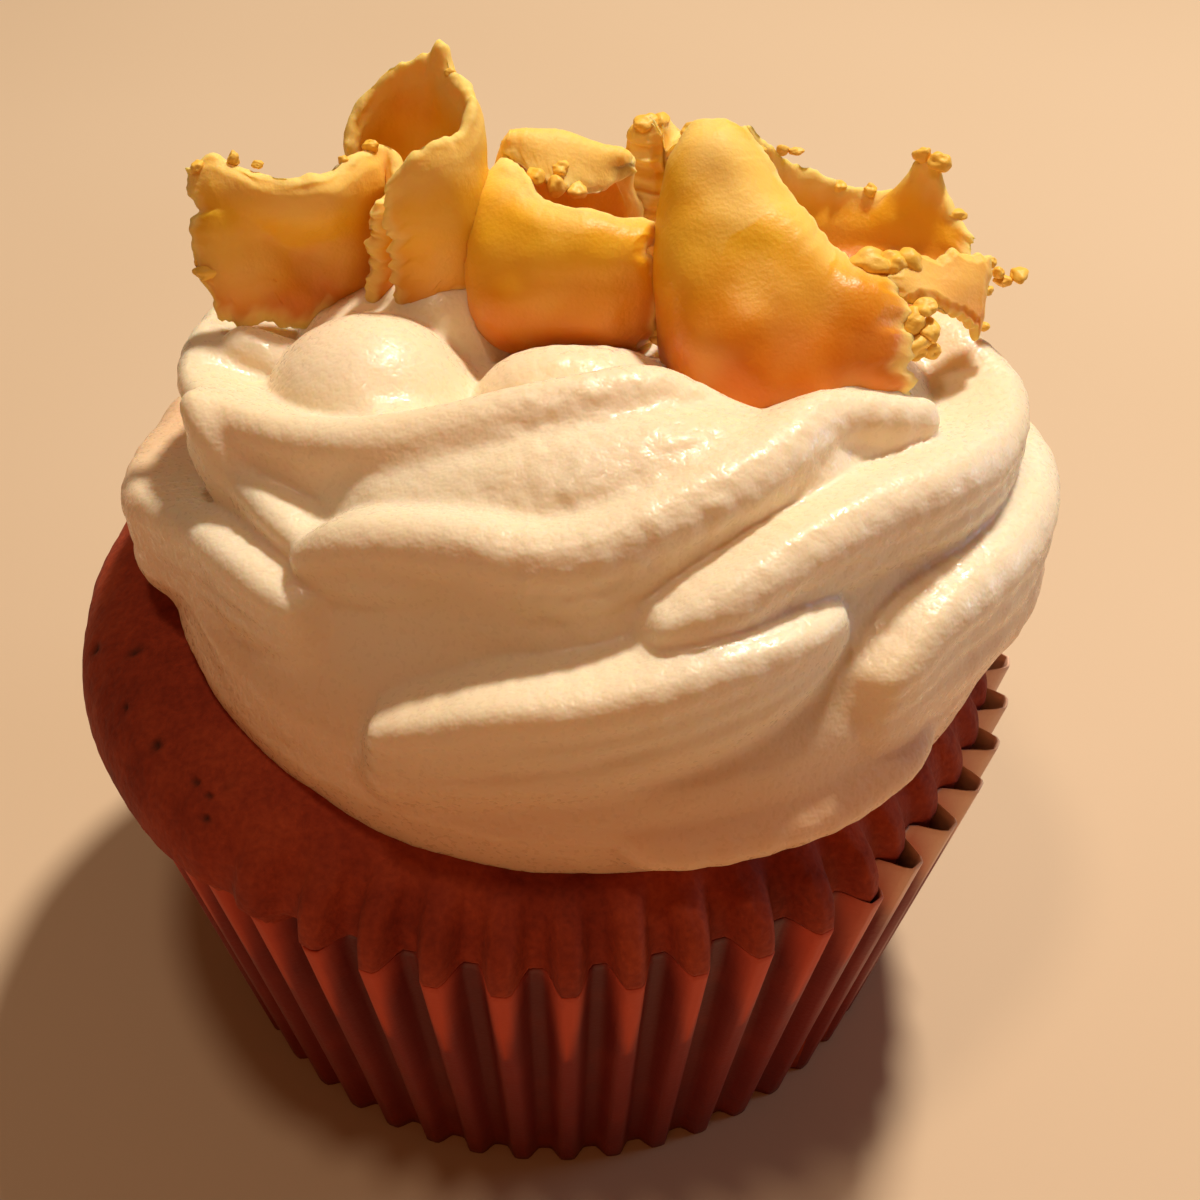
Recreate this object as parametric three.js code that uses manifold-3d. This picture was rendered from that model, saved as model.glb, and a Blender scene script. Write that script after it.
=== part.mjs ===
// A piped cupcake: a pleated paper case, the sponge baked in it, a swirl of
// buttercream and shavings of white chocolate standing in the top.
// Millimetres, +Z up. The origin is the centre of the case's flat underside,
// the front of the cake looks along -Y, and angles run from the front
// towards +X, in degrees.

import * as THREE from 'three';
import { mergeVertices } from 'three/addons/utils/BufferGeometryUtils.js';
import Module from 'manifold-3d';

const wasm = await Module();
wasm.setup();

const GAP = 0.35; // clearance between pieces that touch

// Paper case, a standard muffin case, 70 mm over the rim.
const CASE = {
  height: 30.4,
  rimRadius: 35,
  baseRadius: 27.2,
  pleats: 48,
  rimPleatDepth: 2.5,
  basePleatDepth: 1.1,
  paper: 0.4,
  ridgeShare: 0.3, // share of a pleat's pitch that is its flat ridge
  tuck: 0.8, // how far the rim is pushed in under the sponge's overhang
  flareAngle: 0.6, // where the first ridge stands
};

// Sponge, baked up over the rim on its left side.
const SPONGE = {
  crownHeight: 9.6,
  crownPower: 2.6,
  edgeRadius: 32.1,
  overhang: 3.2,
  overhangAngle: -98,
  overhangHalfWidth: 48,
  overhangFade: 30,
  overhangLift: 0.5,
  sides: 60,
  wallHeights: [0, 0.5, 0.96], // levels of the wall, as shares of the case's height
  crownShares: [1, 0.975, 0.93, 0.87, 0.78, 0.6, 0.35], // levels of the crown, as shares of its radius
};

// Buttercream, piped a little to the right of the sponge's middle. The swirl
// is a plain body of the outline [radius, height] turned round its axis, with
// piped cords blended into it. Each point of a cord lies on its crest:
// [angle, radius, height, thickness].
const ICING = {
  axisX: 3,
  coreHeight: 44,
  blend: 2.6,
  lean: 0.13, // how much lower the back of the top lies, per mm of depth
  leanRise: 12, // the lean sets in over this height above the core
  sinkRadial: 0.5, // from a crest to its cord's middle, in thicknesses
  sinkHeight: 0.85,
  outline: [
    [0, 30], [27, 33], [29.6, 36], [30.8, 40], [30.4, 44], [28.8, 48.5], [26.4, 52.5],
    [24.8, 55.5], [21.5, 58], [17.5, 59.4], [13, 59.4], [8, 57.4], [0, 56.6],
  ],
  cords: {
    hem: [[5, 30.6, 40, 1.8], [24, 30.8, 40, 2.2], [38, 30.8, 40.4, 2], [44, 30.6, 40.6, 1.4]],
    frontLow: [
      [-28, 30.2, 46.6, 2], [-13, 29.3, 50.2, 2.5], [2, 29.2, 51.8, 2.5], [18, 29, 53.8, 2.4],
      [30, 28, 53.4, 1.6],
    ],
    frontHigh: [
      [-45, 26.1, 55, 2], [-38, 24.8, 57.2, 2.7], [-23, 23.4, 58.5, 2.8], [-6, 23.3, 58.8, 2.8],
      [13, 21.3, 60, 2.8], [30, 20.2, 60.6, 2.8], [52, 19, 60.4, 2.6], [66, 23.6, 58.6, 2],
    ],
    topRim: [
      [-83, 27.2, 57, 1.8], [-72, 25.4, 58, 2.2], [-56, 21, 59, 2.5], [-44, 17.8, 60, 2.6],
      [-28, 14.6, 61.3, 2.6], [-10, 12.9, 62.2, 2.6], [14, 11.8, 62.2, 2.6], [32, 12.6, 61.4, 2.6],
      [44, 15, 60, 2],
    ],
    leftShoulder: [
      [-98, 32.4, 45.5, 3], [-81, 31.6, 48.2, 3], [-70, 28.9, 49.6, 2.6], [-57, 27.6, 50.5, 2.4],
      [-45, 27.2, 50.6, 2],
    ],
    rightRope: [
      [4, 26.2, 54.6, 1], [18, 26, 57.3, 2.4], [30, 25, 57.6, 2.8], [46, 25.2, 57.6, 3],
      [60, 27, 57, 3], [75, 28.5, 55.5, 2.8], [87, 28.6, 55.2, 2.6], [98, 25.8, 56, 2.4],
    ],
    rightLobe: [
      [38, 30, 48.5, 2.2], [50, 29.8, 50.5, 2.8], [72, 31, 49.8, 3.4], [88, 31.6, 48.4, 3.4],
      [112, 30.6, 46, 3],
    ],
    backLow: [[112, 31.2, 44.2, 2.4], [145, 30.2, 46.4, 2.8], [180, 28.9, 48.4, 2.8], [212, 27, 50.6, 2]],
    backHigh: [[100, 26, 55.6, 2.4], [135, 25, 54.8, 2.6], [175, 22.4, 55, 2.6], [212, 18, 56.4, 2.2]],
    backShoulder: [[186, 31, 43, 2.2], [222, 31.6, 45, 2.8], [262, 32.4, 45.5, 3]],
    backLeft: [[206, 25, 52.6, 1.8], [232, 26.4, 54.6, 2.4], [256, 27.4, 55.8, 2.4], [274, 27.4, 56.8, 2]],
  },
  // Rounded ends of the swirl inside its top rim: [x, y, z, radius].
  mounds: [
    [-11.8, -0.4, 54.9, 6.9], [-8.2, 8.6, 54.6, 6.6], [-2.6, -4.4, 57, 4],
    [1.4, -3.8, 56.8, 4.2], [5.4, -2.4, 56.2, 3.6], [14, 8, 52.4, 6.4],
  ],
  ballsPerPoint: 3,
  reach: 46, // farther from the core than any of the surface
  neighbourhood: 12, // a cord farther off than this has no say in a point's distance
  halvings: 12, // steps that close in on the surface
  lowElevation: -60, // the rings below brow follow the hidden underside
  browElevation: -16,
  columns: 76,
  lowRows: 4,
  rows: 32,
};

// The block that stands for the sponge where the buttercream is cut to it.
const CUT = {
  foot: 10,
  radius: 38,
  brimDrop: 3,
  crownShares: [1, 0.95, 0.87, 0.7, 0.4],
};

// White chocolate shavings, stood in the buttercream. Each is a curved sheet
// laid through rails that run along its length, from one long edge to the
// other; edge is how far it is cut back and tear how much further it is
// broken, as shares of the sheet.
const SHAVINGS = {
  shaving_left: {
    thickness: 1.7, tear: 0.05, columns: 15, rows: 6,
    rails: [
      [
        [-23.4, 3.2, 55], [-19, 1.4, 55.6], [-14.4, 2.2, 56.4], [-10.8, 4.6, 57.6], [-9.6, 8.6, 57.6],
        [-11.6, 10.8, 56.6],
      ],
      [
        [-24.2, 4.4, 62], [-19, 2.4, 62], [-14.2, 3, 62.6], [-10.6, 5.4, 63], [-9.4, 8.8, 63],
        [-11.8, 11.2, 62],
      ],
      [
        [-24.6, 6.8, 68.6], [-18.6, 5.4, 66.8], [-13.8, 6, 67.8], [-10.8, 7.4, 69], [-9.8, 9.8, 68],
        [-12, 11.8, 66.6],
      ],
    ],
  },
  shaving_tall: {
    thickness: 1.6, tear: 0.05, columns: 17, rows: 7,
    rails: [
      [
        [-14.4, 14.2, 56], [-10.8, 16, 56], [-6.2, 15, 56.6], [-3.2, 11, 57.4], [-3.6, 6.6, 58.6],
        [-6.4, 4.4, 59.4],
      ],
      [
        [-14.8, 14.8, 62], [-10.8, 17, 64.4], [-6.2, 15.8, 66], [-3.4, 11.4, 64.6], [-4, 7, 63.6],
        [-7.2, 5.2, 62.6],
      ],
      [
        [-14.4, 15, 65.8], [-10.8, 16.2, 68.8], [-7.2, 14.4, 72.4], [-4.4, 11.8, 69.4], [-4.6, 8.4, 66.8],
        [-8.6, 7, 64.8],
      ],
    ],
  },
  shaving_centre: {
    thickness: 1.8, tear: 0.05, columns: 12, rows: 13,
    rails: [
      [[-4, 6.2, 66.8], [-0.6, 2.9, 66.4], [3.8, 2.4, 65.6], [7.6, 3.8, 64.2]],
      [[-5.2, 1.4, 62], [-0.6, -1.9, 61.7], [4.2, -2, 61], [7.8, -0.4, 60.6]],
      [[-4.2, 4, 56.4], [-0.2, 1.8, 56], [4.2, 1.8, 55.8], [7, 3, 56]],
      [[-3.4, 8.4, 60.4], [0.4, 9.4, 60], [4, 9.4, 59.6], [6.2, 9, 59.6]],
      [[-3, 9.2, 67], [0.6, 9.9, 67.2], [3.4, 10, 66], [5.9, 10, 65.8]],
    ],
  },
  shaving_back: {
    thickness: 1.6, tear: 0.05, columns: 8, rows: 6,
    rails: [
      [[6.6, 13.6, 54], [8.4, 15.4, 54], [10.6, 15.8, 54], [12.2, 15.6, 54]],
      [[6.8, 13.8, 60.6], [8.4, 15.6, 61.6], [10.4, 16, 61.2], [12.2, 15.8, 60.2]],
      [[7, 13.8, 65.4], [8.4, 15.4, 67], [10.2, 15.8, 66], [11.8, 15.8, 64.2]],
    ],
  },
  shaving_right: {
    thickness: 1.8, tear: 0.04, columns: 15, rows: 15,
    rails: [
      [
        [10.2, 7, 70.6], [12.8, 5.4, 71], [15.8, 2.2, 68.6], [18.8, -0.6, 66.2], [21.8, -2.2, 64.8],
        [25.6, -2.6, 64.8],
      ],
      [[8.8, 0, 64.4], [11.8, -4.4, 63.4], [15.6, -7.2, 61.6], [20, -7.4, 60.6], [25, -5.4, 60]],
      [[10.4, 1, 57], [13, -1, 56], [17, -2, 55.4], [21.4, -1.6, 55.2], [25.6, -0.6, 56]],
      [[13.2, 10, 59], [15.6, 10.6, 58], [19, 11, 57], [24, 10.6, 56.8], [28.4, 8, 57]],
      [
        [14.8, 12.4, 67], [17.4, 13.2, 65.2], [21.6, 13.6, 62.4], [25.2, 13.2, 62], [27.4, 12.4, 65.6],
        [29.8, 10.6, 62.4], [31, 8.4, 59.8],
      ],
    ],
  },
  shaving_tip: {
    thickness: 1.4, tear: 0.06, columns: 7, rows: 6,
    rails: [
      [[26.4, -2.6, 55], [28.4, -2.4, 56.4], [29.8, -2, 58.6]],
      [[26.2, -1.2, 60.4], [28.6, -0.8, 60.8], [30.6, -0.4, 62.4]],
      [[26, 0.2, 64], [28.4, 0.6, 64], [31, 0.8, 65.2]],
    ],
  },
};
const SHAVING_EDGE = 0.035; // how far every edge is cut back, as a share of the sheet
const SHAVING_STEP = 0.01; // share of the sheet over which its slope is measured
const TEAR_WAVES = [[9, 1, 1], [23, 2.3, 0.7], [51, 4.1, 0.4]]; // rate, shift with the seed, height
const SEED_STEP = 5; // from one shaving's seed to the next
const WELD = 1e-4; // points nearer than this are one

const radians = THREE.MathUtils.degToRad;
const lerp = THREE.MathUtils.lerp;

// A point at an angle round an upright axis that stands at axisX.
function around(angle, radius, height, axisX = 0) {
  const a = radians(angle);
  return new THREE.Vector3(axisX + radius * Math.sin(a), -radius * Math.cos(a), height);
}

function curveThrough(vectors) {
  return new THREE.CatmullRomCurve3(vectors, false, 'catmullrom', 0.5);
}

// 1 within halfWidth of an angle, falling smoothly to 0 over the next fade.
function bump(angle, centre, halfWidth, fade) {
  const off = Math.abs(THREE.MathUtils.euclideanModulo(angle - centre + 180, 360) - 180);
  return 1 - THREE.MathUtils.smoothstep(off, halfWidth, halfWidth + fade);
}

// A closed solid from rings stacked from the underside to the top. A ring of
// one point is a pole.
function stackedSolid(rings) {
  const positions = [];
  const starts = [];
  for (const ring of rings) {
    starts.push(positions.length / 3);
    for (const p of ring) positions.push(p.x, p.y, p.z);
  }
  const index = [];
  for (let r = 0; r + 1 < rings.length; r++) {
    const below = rings[r];
    const above = rings[r + 1];
    const count = Math.max(below.length, above.length);
    for (let i = 0; i < count; i++) {
      const j = (i + 1) % count;
      const a = starts[r] + (below.length > 1 ? i : 0);
      const b = starts[r] + (below.length > 1 ? j : 0);
      const c = starts[r + 1] + (above.length > 1 ? j : 0);
      const d = starts[r + 1] + (above.length > 1 ? i : 0);
      if (below.length > 1) index.push(a, b, c);
      if (above.length > 1) index.push(c, d, a);
    }
  }
  const geometry = new THREE.BufferGeometry();
  geometry.setAttribute('position', new THREE.Float32BufferAttribute(positions, 3));
  geometry.setIndex(index);
  return geometry;
}

function toManifold(geometry) {
  const merged = mergeVertices(geometry, WELD);
  const mesh = new wasm.Mesh({
    numProp: 3,
    vertProperties: new Float32Array(merged.attributes.position.array),
    triVerts: new Uint32Array(merged.index.array),
  });
  return new wasm.Manifold(mesh);
}

// The largest body of a solid, as a geometry, without the crumbs of a cut.
function toGeometry(solid) {
  const bodies = solid.decompose();
  bodies.sort((a, b) => b.volume() - a.volume());
  const mesh = bodies[0].getMesh();
  const geometry = new THREE.BufferGeometry();
  geometry.setAttribute('position', new THREE.BufferAttribute(mesh.vertProperties, 3));
  geometry.setIndex(new THREE.BufferAttribute(mesh.triVerts, 1));
  return geometry;
}

function piece(name, geometry, color, roughness) {
  const facets = geometry.toNonIndexed();
  facets.computeVertexNormals();
  const material = new THREE.MeshStandardMaterial({ color, roughness, metalness: 0 });
  const mesh = new THREE.Mesh(facets, material);
  mesh.name = name;
  return mesh;
}

// How far the sponge bulges over the rim at an angle, from 0 to 1.
function overhangAt(angle) {
  return bump(angle, SPONGE.overhangAngle, SPONGE.overhangHalfWidth, SPONGE.overhangFade);
}

// The radius of the case's ridges at a height share and an angle.
function ridgeRadius(share, angle) {
  return lerp(CASE.baseRadius, CASE.rimRadius, share) - CASE.tuck * share * overhangAt(angle);
}

function pleatDepth(share) {
  return lerp(CASE.basePleatDepth, CASE.rimPleatDepth, share);
}

// One level of the pleated wall: each pleat is a flat ridge and a flat valley.
function pleatedRing(share, inset, height) {
  const ring = [];
  const pitch = 360 / CASE.pleats;
  for (let i = 0; i < CASE.pleats; i++) {
    const centre = CASE.flareAngle + i * pitch;
    const corners = [
      [-CASE.ridgeShare / 2, 0],
      [CASE.ridgeShare / 2, 0],
      [0.5 - CASE.ridgeShare / 2, 1],
      [0.5 + CASE.ridgeShare / 2, 1],
    ];
    for (const [offset, depth] of corners) {
      const angle = centre + offset * pitch;
      const radius = ridgeRadius(share, angle) - inset - depth * pleatDepth(share);
      ring.push(around(angle, radius, height));
    }
  }
  return ring;
}

function paperCase() {
  return stackedSolid([
    [new THREE.Vector3(0, 0, 0)],
    pleatedRing(0, 0, 0),
    pleatedRing(1, 0, CASE.height),
    pleatedRing(1, CASE.paper, CASE.height),
    pleatedRing(0, CASE.paper, CASE.paper),
    [new THREE.Vector3(0, 0, CASE.paper)],
  ]);
}

// The sponge's crown at an angle and a share of the way out to its edge,
// raised by a clearance. The overhang's edge lies a little higher.
function crownPoint(angle, share, clearance = 0) {
  const over = overhangAt(angle);
  const radius = (SPONGE.edgeRadius + SPONGE.overhang * over) * share;
  const rise = Math.pow(1 - Math.pow(share, SPONGE.crownPower), 1 / SPONGE.crownPower);
  const height = CASE.height + SPONGE.overhangLift * over + SPONGE.crownHeight * rise;
  return around(angle, radius + clearance * share, height + clearance);
}

function spongeRing(pointAt) {
  return Array.from({ length: SPONGE.sides }, (_, i) => pointAt((i * 360) / SPONGE.sides));
}

// The wall just inside the pleats' valleys, at a share of the case's height.
function spongeWallPoint(angle, share) {
  const floor = CASE.paper + GAP;
  const radius = ridgeRadius(share, angle) - pleatDepth(share) - CASE.paper - GAP;
  return around(angle, radius, Math.max(floor, share * CASE.height));
}

function sponge() {
  const rings = [[new THREE.Vector3(0, 0, CASE.paper + GAP)]];
  for (const share of SPONGE.wallHeights) {
    rings.push(spongeRing((angle) => spongeWallPoint(angle, share)));
  }
  rings.push(spongeRing((angle) => spongeWallPoint(angle, 1).add(new THREE.Vector3(0, 0, GAP))));
  for (const share of SPONGE.crownShares) {
    rings.push(spongeRing((angle) => crownPoint(angle, share)));
  }
  rings.push([crownPoint(0, 0)]);
  return stackedSolid(rings);
}

// Signed distance from a point to the closed outline in the radius and height
// plane, negative inside.
function outlineDistance(radius, height) {
  const points = ICING.outline;
  let nearest = Infinity;
  let inside = false;
  for (let i = 0, j = points.length - 1; i < points.length; j = i++) {
    const [r1, z1] = points[j];
    const [r2, z2] = points[i];
    const dr = r2 - r1;
    const dz = z2 - z1;
    const projected = ((radius - r1) * dr + (height - z1) * dz) / (dr * dr + dz * dz);
    const along = THREE.MathUtils.clamp(projected, 0, 1);
    if (j !== points.length - 1) {
      nearest = Math.min(nearest, Math.hypot(radius - r1 - along * dr, height - z1 - along * dz));
    }
    if (z1 > height !== z2 > height && radius < r1 + ((height - z1) / dz) * dr) inside = !inside;
  }
  return inside ? -nearest : nearest;
}

// A cord as a smooth run of balls under its crest, in pairs of neighbours.
function cordSegments(points) {
  const steps = (points.length - 1) * ICING.ballsPerPoint;
  const crest = curveThrough(points.map((point) => new THREE.Vector3(...point)));
  const swell = curveThrough(points.map(([, , , thickness]) => new THREE.Vector3(thickness, 0, 0)));
  const balls = Array.from({ length: steps + 1 }, (_, i) => {
    const { x: angle, y: crestRadius, z: crestHeight } = crest.getPoint(i / steps);
    const radius = swell.getPoint(i / steps).x;
    const middleRadius = crestRadius - ICING.sinkRadial * radius;
    const middleHeight = crestHeight - ICING.sinkHeight * radius;
    return { centre: around(angle, middleRadius, middleHeight, ICING.axisX), radius };
  });
  return balls.slice(1).map((ball, i) => [balls[i], ball]);
}
const segments = Object.values(ICING.cords).flatMap(cordSegments);

function segmentDistance(point, [from, to]) {
  const run = to.centre.clone().sub(from.centre);
  const reach = point.clone().sub(from.centre);
  const along = THREE.MathUtils.clamp(reach.dot(run) / run.lengthSq(), 0, 1);
  return reach.addScaledVector(run, -along).length() - lerp(from.radius, to.radius, along);
}

function blendUnion(a, b) {
  const h = Math.max(ICING.blend - Math.abs(a - b), 0) / ICING.blend;
  return Math.min(a, b) - h * h * ICING.blend * 0.25;
}

// Signed distance to the buttercream's surface, negative inside.
function icingDistance(point) {
  const topShare = THREE.MathUtils.clamp((point.z - ICING.coreHeight) / ICING.leanRise, 0, 1);
  const drop = ICING.lean * Math.max(point.y, 0) * topShare;
  const core = outlineDistance(Math.hypot(point.x - ICING.axisX, point.y), point.z + drop);
  const near = segments.filter(([from]) => point.distanceTo(from.centre) < ICING.neighbourhood);
  const ridge = Math.min(Infinity, ...near.map((segment) => segmentDistance(point, segment)));
  let distance = blendUnion(core, ridge);
  for (const [x, y, z, radius] of ICING.mounds) {
    distance = blendUnion(distance, point.distanceTo(new THREE.Vector3(x, y, z)) - radius);
  }
  return distance;
}

// The outermost point of the buttercream in a direction from its core.
function icingPoint(angle, elevation) {
  const core = new THREE.Vector3(ICING.axisX, 0, ICING.coreHeight);
  const tilt = radians(elevation);
  const direction = around(angle, Math.cos(tilt), Math.sin(tilt));
  const at = (reach) => core.clone().addScaledVector(direction, reach);
  let outer = ICING.reach;
  while (outer > 1 && icingDistance(at(outer)) > 0) outer -= 1;
  let low = outer;
  let high = outer + 1;
  for (let i = 0; i < ICING.halvings; i++) {
    const middle = (low + high) / 2;
    if (icingDistance(at(middle)) > 0) high = middle;
    else low = middle;
  }
  return at(low);
}

function icingRing(elevation) {
  const { columns } = ICING;
  return Array.from({ length: columns }, (_, i) => icingPoint((i * 360) / columns, elevation));
}

// The whole swirl as a closed solid.
function swirl() {
  const { rows, lowRows, lowElevation, browElevation } = ICING;
  const rings = [[icingPoint(0, -90)]];
  for (let row = 1; row < lowRows; row++) {
    rings.push(icingRing(lerp(lowElevation, browElevation, row / (lowRows - 1))));
  }
  for (let row = 1; row < rows; row++) {
    rings.push(icingRing(lerp(browElevation, 90, row / rows)));
  }
  rings.push([icingPoint(0, 90)]);
  return stackedSolid(rings);
}

// A solid that fills everything below the sponge's crown, with clearance.
function underCrown() {
  const brimPoint = (angle) => around(angle, CUT.radius, crownPoint(angle, 1, GAP).z - CUT.brimDrop);
  const rings = [
    [new THREE.Vector3(0, 0, CUT.foot)],
    spongeRing((angle) => around(angle, CUT.radius, CUT.foot)),
    spongeRing(brimPoint),
  ];
  for (const share of CUT.crownShares) {
    rings.push(spongeRing((angle) => crownPoint(angle, share, GAP)));
  }
  rings.push([crownPoint(0, 0, GAP)]);
  return stackedSolid(rings);
}

// An uneven break along an edge, between 0 and 1.
function tearAt(along, seed) {
  let wave = 0;
  let most = 0;
  for (const [rate, shift, height] of TEAR_WAVES) {
    wave += height * Math.sin(along * rate + seed * shift);
    most += height;
  }
  return 0.5 + (0.5 * wave) / most;
}

// The middle of a shaving's sheet: a place along its rails and across them.
function sheetPoint(rails, along, across) {
  return curveThrough(rails.map((rail) => rail.getPoint(along))).getPoint(across);
}

function sheetNormal(rails, along, across) {
  const a = Math.min(along, 1 - SHAVING_STEP);
  const c = Math.min(across, 1 - SHAVING_STEP);
  const base = sheetPoint(rails, a, c);
  const run = sheetPoint(rails, a + SHAVING_STEP, c).sub(base);
  const rise = sheetPoint(rails, a, c + SHAVING_STEP).sub(base);
  return run.cross(rise).normalize();
}

// The index of a thick sheet whose upper points come first, row by row, and
// then its lower ones.
function thickSheetIndex(columns, rows) {
  const stride = columns + 1;
  const under = stride * (rows + 1);
  const index = [];
  const quad = (a, b, c, d) => index.push(a, b, c, c, d, a);
  for (let row = 0; row < rows; row++) {
    for (let column = 0; column < columns; column++) {
      const a = row * stride + column;
      quad(a, a + 1, a + stride + 1, a + stride);
      quad(under + a, under + a + stride, under + a + stride + 1, under + a + 1);
    }
  }
  for (let column = 0; column < columns; column++) {
    const last = rows * stride + column;
    quad(column, under + column, under + column + 1, column + 1);
    quad(last, last + 1, under + last + 1, under + last);
  }
  for (let row = 0; row < rows; row++) {
    const left = row * stride;
    const right = left + columns;
    quad(left, left + stride, under + left + stride, under + left);
    quad(right, under + right, under + right + stride, right + stride);
  }
  return index;
}

// A shaving as a closed solid with torn edges. With a clearance it is that
// much thicker on both sides and its edges are whole.
function shaving({ rails, thickness, tear, columns, rows }, seed, clearance = 0) {
  const curves = rails.map((points) => curveThrough(points.map((p) => new THREE.Vector3(...p))));
  const cutBack = (place, side) => (clearance > 0 ? 0 : SHAVING_EDGE + tear * tearAt(place, seed + side));
  const places = [];
  for (let row = 0; row <= rows; row++) {
    for (let column = 0; column <= columns; column++) {
      const s = column / columns;
      const t = row / rows;
      places.push([lerp(cutBack(t, 1), 1 - cutBack(t, 2), s), lerp(cutBack(s, 3), 1 - cutBack(s, 4), t)]);
    }
  }
  const positions = [];
  for (const offset of [thickness / 2 + clearance, -thickness / 2 - clearance]) {
    for (const [along, across] of places) {
      const point = sheetPoint(curves, along, across);
      point.addScaledVector(sheetNormal(curves, along, across), offset);
      positions.push(...point);
    }
  }
  const geometry = new THREE.BufferGeometry();
  geometry.setAttribute('position', new THREE.Float32BufferAttribute(positions, 3));
  geometry.setIndex(thickSheetIndex(columns, rows));
  return toManifold(geometry);
}

// The shavings stand in the buttercream, which is parted round them, and each
// is clear of the ones before it.
let swirlSolid = toManifold(swirl()).subtract(toManifold(underCrown()));
const shavingSolids = {};
let taken = null;
Object.entries(SHAVINGS).forEach(([name, shape], number) => {
  const solid = shaving(shape, number * SEED_STEP);
  const swollen = shaving(shape, number * SEED_STEP, GAP);
  shavingSolids[name] = taken ? solid.subtract(taken) : solid;
  taken = taken ? taken.add(swollen) : swollen;
  swirlSolid = swirlSolid.subtract(swollen);
});

const cake = new THREE.Group();
cake.add(piece('paper_case', paperCase(), 0xc98a76, 0.8));
cake.add(piece('sponge', sponge(), 0x9a5730, 0.85));
cake.add(piece('buttercream', toGeometry(swirlSolid), 0xf3e2c6, 0.5));
for (const [name, solid] of Object.entries(shavingSolids)) {
  cake.add(piece(name, toGeometry(solid), 0xf0cf6b, 0.55));
}

export default cake;
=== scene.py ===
# A piped cupcake on a pale table, built up in the order in which it is made:
# paper case, sponge, buttercream swirl, white chocolate shavings and crumbs.
# Sizes are millimetres. Angles are degrees, from the front towards the right.
import math
import random

import bmesh
import bpy
import numpy as np
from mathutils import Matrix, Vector, noise


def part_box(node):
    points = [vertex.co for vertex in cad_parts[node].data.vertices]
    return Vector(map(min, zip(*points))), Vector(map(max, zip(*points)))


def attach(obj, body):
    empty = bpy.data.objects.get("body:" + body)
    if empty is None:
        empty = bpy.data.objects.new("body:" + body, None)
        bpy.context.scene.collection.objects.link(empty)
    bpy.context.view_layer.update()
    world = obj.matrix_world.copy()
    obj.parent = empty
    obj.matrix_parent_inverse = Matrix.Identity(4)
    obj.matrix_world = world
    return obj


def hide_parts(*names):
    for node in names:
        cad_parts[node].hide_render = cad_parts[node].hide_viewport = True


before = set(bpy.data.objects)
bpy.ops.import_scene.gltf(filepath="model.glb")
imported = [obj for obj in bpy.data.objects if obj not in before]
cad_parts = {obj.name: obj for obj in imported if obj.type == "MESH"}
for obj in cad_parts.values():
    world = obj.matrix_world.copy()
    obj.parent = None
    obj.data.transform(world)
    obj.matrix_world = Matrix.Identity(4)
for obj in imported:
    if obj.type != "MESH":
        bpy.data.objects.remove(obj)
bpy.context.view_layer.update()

MM = 0.001


# Paper case. One round of greaseproof paper, pressed between ribbed dies into
# a pleated cup. Cake fat soaks it dark wherever the cake touches it, and only
# the mouths of the pleats and the free rim on the right stay dry and pale. The
# pleat valleys are darker from grease and painted shade, the wall is painted
# darker towards its base as shade, and the free rim is painted paler still, as
# window light on the bare paper.
case_low, case_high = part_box("paper_case")
CASE_HEIGHT = case_high.z / MM
RIM_RADIUS = (case_high.y - case_low.y) / 2 / MM
BASE_RADIUS = 27.2
PLEATS = 48
PLEAT_PITCH = 360 / PLEATS
FIRST_RIDGE = 0.6
RIM_PLEAT_DEPTH = 2.5
BASE_PLEAT_DEPTH = 1.1
PLEAT_SIDE = (0.1, 0.4)  # where a pleat's side starts and ends, in pitches from its ridge
PAPER = 0.2
RIM_MARGIN = 0.15  # the wavering rim stays this far inside its widest size
RIM_WAVE = 0.3
PLEAT_SWAY = 0.7
OUT_OF_ROUND = 0.25
RIM_TUCK = 0.8
# Spans round the cake: the middle, the half width, and the fade past it.
OVERHANG_SPAN = (-98, 48, 30)
FREE_RIM_SPAN = (80, 32, 14)
BASE_RINGS = [0.02, 0.5, 0.93]
POINTS_PER_PLEAT = 14
WALL_ROWS = 40
DRY_LENGTH = 10.5
DRY_WIDTH = 0.3
DRY_TAPER = 0.8
DRY_EDGE = (-0.14, 0.12)
FREE_RIM_DRY_WIDTH = 0.6
BARE_EDGE = (0.3, 0.9)  # in dry lengths below the rim, as the next is
# Painted shade: the wall darkens towards its base, between these depths in dry lengths below the rim, and
# the pleat valleys take the same darker paper.
BASE_SHADE_DEPTHS = (1, 2.8)
BASE_SHADE_DARKNESS = 0.8
PAPER_DRY = "#C44C2E"
PAPER_GREASED = "#80180D"
PAPER_FOLD_SHADE = "#68150B"
# Dry paper as it looks in the window light, painted on the free rim.
PAPER_BARE_LIT = "#E9C3A8"
BLOTCH_SIZE = 3.85
FIBRE_SPACING = 0.35


def lerp(start, end, share):
    return start + (end - start) * share


def ramp(value, start, end):
    """0 before start, 1 after end, and smooth between them."""
    share = np.clip((value - start) / (end - start), 0, 1)
    return share * share * (3 - 2 * share)


def around(angle, radius, height, axis_x=0.0):
    """Points at an angle round an upright axis."""
    turn = np.radians(angle)
    x = axis_x + radius * np.sin(turn)
    y = -radius * np.cos(turn)
    return np.stack(np.broadcast_arrays(x, y, height), -1)


def bump_at(angle, centre, half_width, fade):
    """1 within half_width of an angle, and smoothly 0 past the fade."""
    off = np.abs((angle - centre + 180) % 360 - 180)
    return 1 - ramp(off, half_width, half_width + fade)


def uneven(points, size, seed):
    """Smooth noise between about -1 and 1, with lumps of the given size."""
    shift = Vector((seed * 7.3, seed * 3.1, seed * 5.7))
    flat = points.reshape(-1, 3) / size
    values = [noise.noise(Vector(p) + shift) for p in flat]
    return np.array(values).reshape(points.shape[:-1])


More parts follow.
